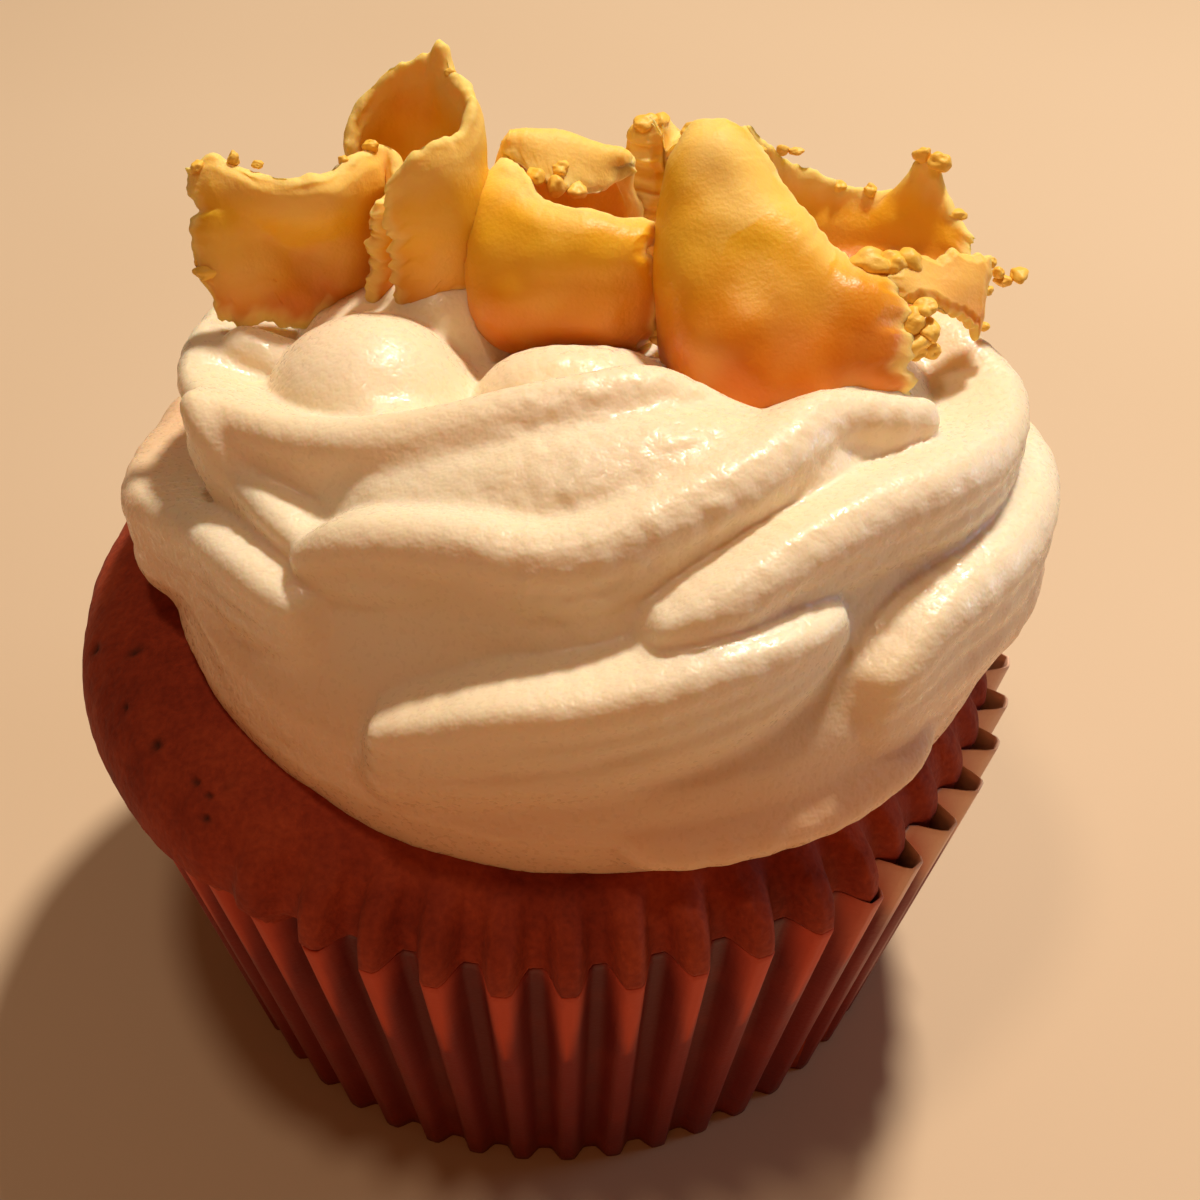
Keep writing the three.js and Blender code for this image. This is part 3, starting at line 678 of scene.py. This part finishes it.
# Shavings. White chocolate, scraped from a block with a knife, so that each
# sheet curls, tears and crumbles, and pushed upright into the buttercream. A
# sheet is laid through rails, and each rail has a thickness of its own.
SHAVINGS = {
    "shaving_left": {
        "thickness": [1.5, 1.8, 1.9, 1.6],
        "rails": [
            [
                [-22.9, 3, 57.6], [-21.6, 2.8, 56.7], [-19.9, 3.2, 56.4], [-18.1, 4.6, 55.8],
                [-16.1, 6.2, 55], [-14.1, 7.2, 55.1], [-12.5, 8, 55.6], [-11.7, 7.8, 55.5],
                [-11.7, 6.2, 55.7], [-12.6, 5.2, 56.3],
            ],
            [
                [-23.8, 4.6, 62.9], [-22, 4.4, 62.8], [-20.2, 5.4, 61.9], [-18.1, 7.2, 60.7],
                [-15.7, 7.8, 60.6], [-13.6, 8.2, 61], [-11.9, 9.2, 61.1], [-10.8, 9, 60.7],
                [-11, 6.8, 60.3], [-12.3, 5.4, 60.9],
            ],
            [
                [-23.6, 5.8, 65.6], [-22, 6, 65.9], [-20.1, 5.6, 65.7], [-17.7, 5.6, 64.9],
                [-15.3, 6, 64.7], [-13.5, 7.4, 64.5], [-11.7, 9.6, 64.1], [-10.4, 9.4, 63.5],
                [-10.5, 7.2, 63], [-12, 5.2, 63.1],
            ],
            [
                [-23.8, 6.6, 67.3], [-22.3, 7.2, 67.8], [-20.5, 6.6, 67.6], [-17.8, 5.6, 67.2],
                [-15.3, 6, 67.1], [-13.5, 8, 66.9], [-11.8, 10.6, 66.5], [-10.3, 10, 65.9],
                [-10.1, 7.4, 65.1], [-11.8, 5.4, 64.7],
            ],
        ],
    },
    "shaving_tall": {
        "thickness": [1.7, 1.6, 1.5],
        "rails": [
            [
                [-13.6, 11, 54.7], [-13.2, 12, 54.9], [-12, 13, 54.9], [-10.6, 13.4, 55], [-9.1, 13.2, 55.3],
                [-7.6, 12.6, 55.6], [-6.4, 11.2, 56.1], [-5.4, 9, 56.6], [-4.9, 6.8, 57], [-5.6, 5.2, 57.2],
                [-7.3, 4.4, 57.2], [-9.1, 4.2, 57], [-10.8, 4.4, 56.6],
            ],
            [
                [-13.8, 12.4, 61.5], [-13.3, 13.8, 62.6], [-12, 14.8, 63.6], [-10.3, 15.2, 64.2],
                [-8.8, 15, 64.6], [-7.3, 14.2, 65.5], [-6.1, 12.4, 65.4], [-5.2, 10, 65.2],
                [-4.7, 7.6, 64.7], [-5.4, 6, 64.2], [-7, 5, 64.4], [-9, 4.6, 63.6], [-10.8, 4.8, 62.6],
            ],
            [
                [-13.9, 12.6, 65.4], [-13.4, 14, 67], [-11.8, 15, 68.7], [-9.9, 15.4, 70],
                [-8.3, 15.2, 70.9], [-6.9, 14.6, 72.4], [-6.3, 13.2, 70.7], [-5.2, 11, 70.8],
                [-4.8, 9, 70.2], [-5.6, 7.4, 69.8], [-7.2, 6, 69.6], [-8.8, 5.2, 68.6], [-10.6, 5, 66.6],
            ],
        ],
    },
    "shaving_centre": {
        "thickness": [1.3, 2, 1.8, 1.6, 1.8, 1.9, 1.9, 1.7],
        "rails": [
            [[-2.9, 10.2, 66.1], [-1.4, 8.8, 65.6], [0.8, 7.8, 64.8], [3.1, 8.8, 63.8], [6.4, 10.8, 63.7]],
            [[-2.9, 10.6, 66.3], [-1.7, 11, 66.3], [0.8, 11.4, 66.1], [3.9, 11.4, 65.1], [6.4, 11.2, 64.7]],
            [[-4.3, 9, 59], [-2.6, 10, 58.5], [0.1, 10.6, 58.2], [3.9, 10.8, 58.2], [6.8, 10.8, 57.9]],
            [[-4.6, 6.4, 55.4], [-3, 5.6, 54.4], [0, 5.6, 53.8], [3.9, 6, 53.7], [7.4, 6.6, 54]],
            [[-5.3, 4.6, 57.3], [-3.4, 1.6, 57.7], [0, 0.8, 57.3], [3.9, 1, 56.9], [7.5, 2.2, 57]],
            [[-5, 6.2, 61.2], [-3.6, 3, 61.8], [0, 1.6, 62], [3.9, 1.6, 61.9], [7.5, 2.8, 61.9]],
            [[-4.5, 8, 64], [-3.4, 5.8, 64.5], [0, 3, 64.1], [3.9, 2.8, 63.8], [7.6, 3.8, 62.8]],
            [[-3, 10, 66.2], [-1.7, 8.2, 65.8], [0.2, 5, 65.1], [3.8, 4.6, 64.5], [7.6, 5.2, 63.1]],
        ],
    },
    "shaving_back": {
        "thickness": [2.8, 3, 2.8],
        "rails": [
            [[6.8, 11.4, 55.6], [7.6, 12.6, 54.8], [8.5, 13.2, 54.4], [9.6, 13, 54.5], [10.6, 12, 55.1]],
            [
                [6.8, 12.6, 63.1], [7.6, 13.8, 62.7], [8.5, 14.2, 62.6], [9.6, 13.8, 62.5],
                [10.4, 12.8, 63.1],
            ],
            [[6.8, 13, 65.8], [7.4, 14, 66.5], [8.4, 14.4, 66.4], [9.5, 14, 65], [10.4, 13, 66]],
        ],
    },
    "shaving_right": {
        "thickness": [2.4, 3, 2.6, 2.2, 1.8, 1.6, 1.6, 1.5, 1.4],
        "rails": [
            [
                [13.6, 9.6, 67.6], [14.5, 8.4, 67.3], [15.5, 6.8, 66.5], [16.8, 4.8, 65.3], [18.3, 3, 64],
                [19.8, 1.6, 62.9], [21.5, 0.8, 62.3], [24.1, 0.6, 62.3],
            ],
            [
                [12.1, 8.2, 69.1], [12.3, 5.8, 68.5], [13.3, 4, 67.1], [15.1, 1.8, 65.4],
                [16.9, 0.2, 63.8], [18.8, -1, 62.5], [20.9, -1.6, 61.8], [23.9, -1.4, 61.3],
            ],
            [
                [9.8, 7.6, 68.8], [9.4, 4.8, 67.4], [10, 2.2, 65.6], [11.9, -0.4, 63.8],
                [14.5, -2.6, 62.2], [17.4, -3.6, 61], [20.7, -3.8, 60.2], [24.2, -3, 59.7],
            ],
            [
                [9, 5.4, 62.2], [8.3, 1.4, 60.4], [9.4, -2.4, 59.6], [11.4, -4.6, 58.8], [14.2, -6.4, 58],
                [17.1, -6.6, 57.6], [20.7, -5.4, 57.6], [24.6, -4.6, 57.4],
            ],
            [
                [9.8, 5.6, 56], [9.2, 2, 54.4], [10.4, -1.4, 53.4], [12.4, -4, 53], [15.2, -6, 52.4],
                [18, -5.8, 52.8], [21.6, -4.4, 53.4], [25.2, -3.2, 53.6],
            ],
            [
                [12.2, 9, 57], [13, 7.6, 54.8], [14.7, 6.6, 54.4], [17.1, 6, 54], [20, 5.6, 54],
                [22.7, 5.6, 54], [25.4, 5.6, 54.2], [27.9, 5.4, 54.8],
            ],
            [
                [13.8, 12, 59.2], [15.5, 12, 57], [17.7, 12, 55.9], [20.2, 12, 55.6], [22.8, 11.6, 55.8],
                [25.4, 11, 56.1], [27.8, 9.8, 56.5], [29.4, 7.6, 56.9],
            ],
            [
                [14.3, 13.6, 62.4], [16.4, 13.8, 59.4], [18.8, 13.8, 58.6], [21.2, 13.8, 58],
                [23.6, 13.4, 58], [26.2, 12.6, 59], [28.8, 11, 58.8], [30.3, 8.4, 58.2],
            ],
            [
                [14.5, 14.4, 65.7], [16.9, 14.6, 63.2], [19.4, 14.6, 61.8], [22, 14.6, 60.2],
                [25.6, 14.4, 60.2], [27.3, 13.6, 63.6], [29.1, 11.8, 60.7], [30.8, 9, 58.9],
            ],
        ],
    },
    "shaving_tip": {
        "thickness": [1.4, 1.6, 1.6],
        "rails": [
            [[23.5, -1.8, 61.1], [25.7, -1.4, 60.9], [27.7, -0.8, 59.7], [29.5, -0.4, 58.4]],
            [[22.8, -0.8, 62.2], [25.4, 0, 61.4], [28.1, 0.8, 60.7], [30.5, 1.6, 60.1]],
            [[22.1, 0.4, 63], [24.9, 1.4, 62.4], [27.9, 2.6, 62.1], [31.1, 3.4, 62.2]],
        ],
    },
}
SHEET_COLUMNS = 130
SHEET_ROWS = 96
SLOPE_STEP = 0.01
TEAR = 0.95
TEAR_BITES = [(0.9, 3.2, 0), (0.6, 1.3, 2), (0.35, 0.6, 4)]  # height, size, and shift of the seed
EDGE_ROUNDING = 4
EDGE_TAPER = 16
EDGE_THICKNESS = 0.5
THICKNESS_SWING = 0.22
BUCKLE = 0.25
RIPPLE = 0.1
LIT_RISE = (57, 65)
# A painted highlight along the high rims and crests of the sheets: its width, the heights where it fades in,
# and its strength.
RIM_BAND = (1.5, 6)
RIM_HEIGHTS = (58, 62)
CREST_HIGHLIGHT = 0.6
SEED_STEP = 5
FIRST_SEED = 11
CHOCOLATE = "#F7C02A"
CHOCOLATE_SHADED = "#DB7B0D"
CHOCOLATE_PALE = "#FAD67C"
MOTTLE_SIZE = 4.55
SCRAPE_SPACING = 1.1
BREAK_GRAIN = 0.3


def tear_at(run, seed):
    """How far an edge is torn back, in millimetres, along its run: broad bites with crumbly teeth."""
    places = np.stack([run, run * 0 + seed * 9, run * 0], -1)
    bites = sum(height * uneven(places, size, seed + shift) for height, size, shift in TEAR_BITES)
    return TEAR * np.clip(bites, -1, 1)


def sheet(rails, along, across):
    """Points of a sheet at places along and across its rails."""
    ribs = np.stack([smooth_between(np.array(rail, float), along.ravel()) for rail in rails])
    points = smooth_between(ribs, across.ravel(), np.arange(along.size))
    return points.reshape(*along.shape, 3)


def run_length(points):
    """How far each point lies along a line of points."""
    steps = np.linalg.norm(np.diff(points, axis=0), axis=-1)
    return np.concatenate([[0], np.cumsum(steps)])


def shaving(name, rails, thickness, seed):
    """A torn sheet with a front, a back and rounded crumbly edges."""
    s = np.linspace(0, 1, SHEET_COLUMNS)[None, :] * np.ones((SHEET_ROWS, 1))
    t = np.linspace(0, 1, SHEET_ROWS)[:, None] * np.ones((1, SHEET_COLUMNS))
    plain = sheet(rails, s, t)
    length = run_length(plain[SHEET_ROWS // 2])
    width = run_length(plain[:, SHEET_COLUMNS // 2])
    left = tear_at(width, seed + 1)[:, None] / length[-1]
    right = tear_at(width, seed + 2)[:, None] / length[-1]
    low = tear_at(length, seed + 3)[None, :] / width[-1]
    high = tear_at(length, seed + 4)[None, :] / width[-1]
    along = lerp(left, 1 - right, s)
    across = lerp(low, 1 - high, t)
    middle = sheet(rails, along, across)
    a = np.minimum(along, 1 - SLOPE_STEP)
    c = np.minimum(across, 1 - SLOPE_STEP)
    base = sheet(rails, a, c)
    normal = np.cross(sheet(rails, a + SLOPE_STEP, c) - base, sheet(rails, a, c + SLOPE_STEP) - base)
    normal /= np.linalg.norm(normal, axis=-1, keepdims=True)
    row_inset = np.minimum(np.arange(SHEET_ROWS), np.arange(SHEET_ROWS)[::-1])[:, None]
    column_inset = np.minimum(np.arange(SHEET_COLUMNS), np.arange(SHEET_COLUMNS)[::-1])[None, :]
    inset = np.minimum(row_inset, column_inset) * np.ones((SHEET_ROWS, SHEET_COLUMNS))
    rounding = np.sqrt(np.clip(1 - (1 - np.clip(inset / EDGE_ROUNDING, 0, 1)) ** 2, 0.04, 1))
    rounding = rounding * lerp(EDGE_THICKNESS, 1, ramp(inset, 0, EDGE_TAPER))
    full = np.interp(across, np.linspace(0, 1, len(thickness)), thickness)
    body = full / 2 * rounding * (1 + THICKNESS_SWING * uneven(middle, 3.2, seed))
    buckle = BUCKLE * uneven(middle, 4.5, seed + 8)
    broken = 1 - ramp(inset + 3 * uneven(middle, 1.2, seed + 10), 1, 9)
    crumble = broken * (0.28 * uneven(middle, 1.6, seed + 6) + 0.1 * uneven(middle, 0.7, seed + 9))
    ripple = RIPPLE * uneven(middle, 1.8, seed + 7)
    front = middle + normal * (body + crumble + ripple + buckle)[..., None]
    back = middle - normal * (body + crumble - ripple - buckle)[..., None]
    points = np.concatenate([front.reshape(-1, 3), back.reshape(-1, 3)])
    count = SHEET_ROWS * SHEET_COLUMNS
    faces = grid_faces(SHEET_ROWS, SHEET_COLUMNS, False)
    faces += [tuple(count + i for i in face[::-1]) for face in faces]
    border = list(range(SHEET_COLUMNS))
    border += [row * SHEET_COLUMNS + SHEET_COLUMNS - 1 for row in range(1, SHEET_ROWS)]
    border += [count - 1 - column for column in range(1, SHEET_COLUMNS)]
    border += [row * SHEET_COLUMNS for row in range(SHEET_ROWS - 2, 0, -1)]
    for here, beside in zip(border, border[1:] + border[:1]):
        faces.append((here, count + here, count + beside, beside))
    # Painted light and shade: the sheet is lit higher up and further back, and shaded deep orange low down
    # and at the front, with some random unevenness.
    rise = middle[..., 2] + 0.3 * middle[..., 1]
    pale = np.clip(ramp(rise, *LIT_RISE) + 0.2 * uneven(middle, 2.4, seed + 12), 0, 1)
    # Painted highlight: a pale band along the sheet's outer edges and its highest crest, high up, as the
    # window light along the rolled rims.
    crest = t[middle[..., 2].argmax(0), np.arange(SHEET_COLUMNS)]
    rim_distance = np.minimum(np.minimum(t, 1 - t), np.abs(t - crest)) * width[-1]
    crest_highlight = (1 - ramp(rim_distance, *RIM_BAND)) * ramp(middle[..., 2], *RIM_HEIGHTS)
    # The painted highlight is added to the broken share here, so from here on that share holds both.
    broken = np.maximum(broken, CREST_HIGHLIGHT * crest_highlight)
    return mesh_piece(name, points, faces, torn=[broken, broken], pale=[pale, pale])


# White chocolate, cast in a block and scraped. Cocoa butter makes it waxy and
# a warm butter yellow that light goes into, and it breaks pale and grainy. It
# is painted deep orange low down and at the front, as shade, and butter yellow
# higher up and further back, where the window light falls.
def white_chocolate(name, glow, depth):
    """Chocolate that lets in this share of the light, to this depth in millimetres."""
    material = new_material(name)
    place = add_node(material, "TexCoord").outputs["Object"]
    torn = add_node(material, "Attribute", attribute_name="torn").outputs["Fac"]
    pale = add_node(material, "Attribute", attribute_name="pale").outputs["Fac"]
    mottle = add_node(material, "TexNoise", {"Vector": place, "Scale": lumps_of(MOTTLE_SIZE), "Detail": 1})
    grain = add_node(material, "TexNoise", {"Vector": place, "Scale": lumps_of(BREAK_GRAIN), "Detail": 1})
    scrape = add_node(material, "TexNoise", {
        "Vector": place, "Scale": lumps_of(SCRAPE_SPACING), "Detail": 1,
    })
    mottled = add_node(material, "Math", {0: mottle.outputs["Fac"], 1: 0.42}, operation="SUBTRACT")
    # Torn edges turn pale with bloom, and the painted highlight on the crests turns pale the same way.
    bloom_and_highlight = add_node(material, "Math", {
        0: mottled.outputs[0], 1: 0.6, 2: torn,
    }, operation="MULTIPLY_ADD", use_clamp=True)
    # Painted shade and light: deep orange where the sheet is shaded, butter yellow where it is lit.
    body = add_node(material, "Mix", {
        SHARE: pale, UNDER: paint(CHOCOLATE_SHADED), OVER: paint(CHOCOLATE),
    }, data_type="RGBA")
    colour = add_node(material, "Mix", {
        SHARE: bloom_and_highlight.outputs[0], UNDER: body.outputs[MIXED], OVER: paint(CHOCOLATE_PALE),
    }, data_type="RGBA")
    waves = add_node(material, "Bump", {
        "Height": scrape.outputs["Fac"], "Strength": 0.12, "Distance": 0.3 * MM,
    })
    crumbs = add_node(material, "Bump", {
        "Height": grain.outputs["Fac"], "Strength": 0.2, "Distance": 0.2 * MM, "Normal": waves.outputs[0],
    })
    roughness = add_node(material, "MapRange", {"Value": torn, "To Min": 0.4, "To Max": 0.72})
    shader = add_node(material, "BsdfPrincipled", {
        "Base Color": colour.outputs[MIXED],
        "Roughness": roughness.outputs[0],
        "Normal": crumbs.outputs[0],
        "Subsurface Weight": glow,
        "Subsurface Radius": (1.0, 0.7, 0.18),
        "Subsurface Scale": depth * MM,
        "IOR": 1.45,
    })
    finish_surface(material, shader)
    return material


chocolate = white_chocolate("scraped_white_chocolate", 0.6, 1.1)
for number, (node, cut) in enumerate(SHAVINGS.items()):
    name = node.replace("shaving", "curl")
    curl = shaving(name, cut["rails"], cut["thickness"], number * SEED_STEP + FIRST_SEED)
    curl.data.materials.append(chocolate)
    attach(curl, "root")
    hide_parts(node)


# Crumbs. Grains and lumps of the same white chocolate, broken off the shavings
# by the knife and still stuck to their torn edges: [x, y, z, half size].
CRUMBS = [
    [31.2, 3.1, 60.2, 0.5], [31.7, 3.2, 59.5, 0.6], [32.7, 3.4, 59.8, 0.75], [29.9, 0, 57.9, 0.4],
    [17.1, 14.4, 63.5, 0.45], [18.1, 14.4, 63.4, 0.4], [-23.3, 3.6, 61, 0.7], [-23.7, 4.2, 61.4, 0.4],
    [-4.1, 9.4, 64.9, 0.55], [8.5, 3.6, 61.7, 0.7], [8.9, 3, 61.2, 0.55], [8, 3.4, 61.3, 0.4],
    [7.5, 2.2, 56.7, 0.6], [7.7, 1.8, 56, 0.45], [21.8, 0.4, 63, 1.3], [23.2, 0.4, 62.8, 1.2],
    [24.4, 0.8, 62.7, 0.8], [24.2, -3.2, 58.8, 1], [24.5, -2.6, 60.2, 1], [25.3, -2, 60.9, 0.8],
    [25.6, -2.6, 59.5, 0.9], [24.7, -3.4, 58.3, 0.7], [25.9, -2.8, 58, 0.6], [30.5, 2.8, 61.3, 0.4],
    [30.2, 1.4, 59.9, 0.4], [29.2, 0.2, 59, 0.4], [28.3, -0.2, 58.9, 0.35], [19.4, 14.6, 61.2, 0.5],
    [21.4, 14.6, 60.4, 0.5], [23.7, 14.4, 60.1, 0.5], [15.5, 14.2, 63.7, 0.6], [28.3, 13, 63.1, 0.7],
    [27.1, 13.6, 63.5, 0.6], [29.5, 11.2, 59.9, 0.6], [-19.3, 6.6, 67.5, 0.4], [-20.9, 6.8, 67.9, 0.5],
    [-23.3, 6.4, 67.6, 0.5], [-0.6, 8, 65.5, 0.7], [0.8, 7.6, 64.9, 0.8], [2.1, 8.2, 64.2, 0.7],
    [1.1, 8.8, 65.6, 0.6], [-2.1, 10.4, 66.1, 0.6], [10.4, 13.4, 65.5, 0.8], [7.3, 14, 66.1, 0.7],
    [8.3, 14.4, 66.1, 0.7], [-6.4, 13, 70.7, 0.4], [-13.7, 8.2, 66.8, 0.4], [-11.9, 10.2, 66.7, 0.5],
]
CRUMB_DETAIL = 4
CRUMB_SEED = 31
CRUMB_BREAKAGE = 0.3


def crumb_mesh(crumbs, seed):
    """Uneven, squashed grains joined in one mesh."""
    dice = random.Random(seed)
    grain = bmesh.new()
    bmesh.ops.create_icosphere(grain, subdivisions=CRUMB_DETAIL, radius=1)
    ball = np.array([v.co[:] for v in grain.verts])
    ball_faces = [[v.index for v in face.verts] for face in grain.faces]
    grain.free()
    points, faces = [], []
    for number, (x, y, z, size) in enumerate(crumbs):
        squash = np.array([dice.uniform(0.75, 1.3), dice.uniform(0.75, 1.2), dice.uniform(0.65, 1.05)])
        lumps = 1 + 0.4 * uneven(ball, 1.2, seed + number) + 0.2 * uneven(ball, 0.6, seed + number + 50)
        first = len(ball) * number
        points.append(ball * lumps[:, None] * squash * size + np.array([x, y, z]))
        faces += [[first + i for i in face] for face in ball_faces]
    return np.concatenate(points), faces


crumb_points, crumb_faces = crumb_mesh(CRUMBS, CRUMB_SEED)
# The crumbs take the lit butter yellow all over.
crumbs = mesh_piece(
    "chocolate_crumbs", crumb_points, crumb_faces,
    torn=np.full(len(crumb_points), CRUMB_BREAKAGE), pale=np.ones(len(crumb_points)),
)
crumbs.data.materials.append(white_chocolate("broken_white_chocolate", 0, 1))
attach(crumbs, "root")


# Table. A plain pale painted board under the cake, matte and faintly mottled.
TABLE_SIZE = 3000
TABLE_TOP = -0.05
PAINT_PATCH = 83.3
TABLE_TONE = "#DFC9AC"
TABLE_SHADE = "#D6BD9C"


def matte_paint():
    material = new_material("matte_paint")
    place = add_node(material, "TexCoord").outputs["Object"]
    mottle = add_node(material, "TexNoise", {"Vector": place, "Scale": lumps_of(PAINT_PATCH), "Detail": 1})
    colour = add_node(material, "Mix", {
        SHARE: mottle.outputs["Fac"], UNDER: paint(TABLE_TONE), OVER: paint(TABLE_SHADE),
    }, data_type="RGBA")
    shader = add_node(material, "BsdfPrincipled", {"Base Color": colour.outputs[MIXED], "Roughness": 0.85})
    finish_surface(material, shader)
    return material


table_corners = np.array([[-1, -1, 0], [1, -1, 0], [1, 1, 0], [-1, 1, 0]]) * TABLE_SIZE / 2
table = mesh_piece("table", table_corners + [0, 0, TABLE_TOP], [(0, 1, 2, 3)])
table.data.materials.append(matte_paint())


# Light. A soft window light, high up behind and to the right, draws the crests
# of the swirl. A weak lamp overhead and a broad warm light in front open the
# shade, and a cool one on the right stands for the sky.
CAKE_MIDDLE = Vector((0, 0, 42)) * MM
ROOM_TONE = "#FFC896"
ROOM_STRENGTH = 0.07


def soft_light(name, place, size, watts, colour):
    light = bpy.data.lights.new(name, "AREA")
    light.shape = "DISK"
    light.size = size * MM
    light.energy = watts
    light.color = paint(colour)[:3]
    lamp = bpy.data.objects.new(name, light)
    lamp.location = Vector(place) * MM
    lamp.rotation_euler = (CAKE_MIDDLE - lamp.location).to_track_quat("-Z", "Y").to_euler()
    bpy.context.scene.collection.objects.link(lamp)


soft_light("window", (130, 180, 470), 55, 2.45, "#FFF0DE")
soft_light("lamp", (-70, -60, 560), 70, 0.48, "#FFE2C4")
soft_light("room", (-60, -420, 200), 420, 0.24, "#FF8E48")
soft_light("sky", (420, 60, 120), 160, 0.3, "#CFE0FF")
world = bpy.data.worlds.new("studio")
world.use_nodes = True
surround = world.node_tree.nodes["Background"]
surround.inputs["Color"].default_value = paint(ROOM_TONE)
surround.inputs["Strength"].default_value = ROOM_STRENGTH
bpy.context.scene.world = world
bpy.context.scene.view_settings.view_transform = "Standard"


# Camera. A hand-held shot from just in front of the cake, looking steeply
# down at it, a little turned to the right.
CAMERA_PLACE = (0, -120.5, 141.2)
CAMERA_PITCH = 41.8
CAMERA_YAW = -1.7
LENS = 63.8
SENSOR = 36
NEAREST_SEEN = 1

shot = bpy.data.cameras.new("shot")
shot.lens = LENS
shot.sensor_width = SENSOR
shot.clip_start = NEAREST_SEEN * MM
camera = bpy.data.objects.new("shot", shot)
camera.location = Vector(CAMERA_PLACE) * MM
camera.rotation_euler = (math.radians(90 - CAMERA_PITCH), 0, math.radians(CAMERA_YAW))
bpy.context.scene.collection.objects.link(camera)
bpy.context.scene.camera = camera
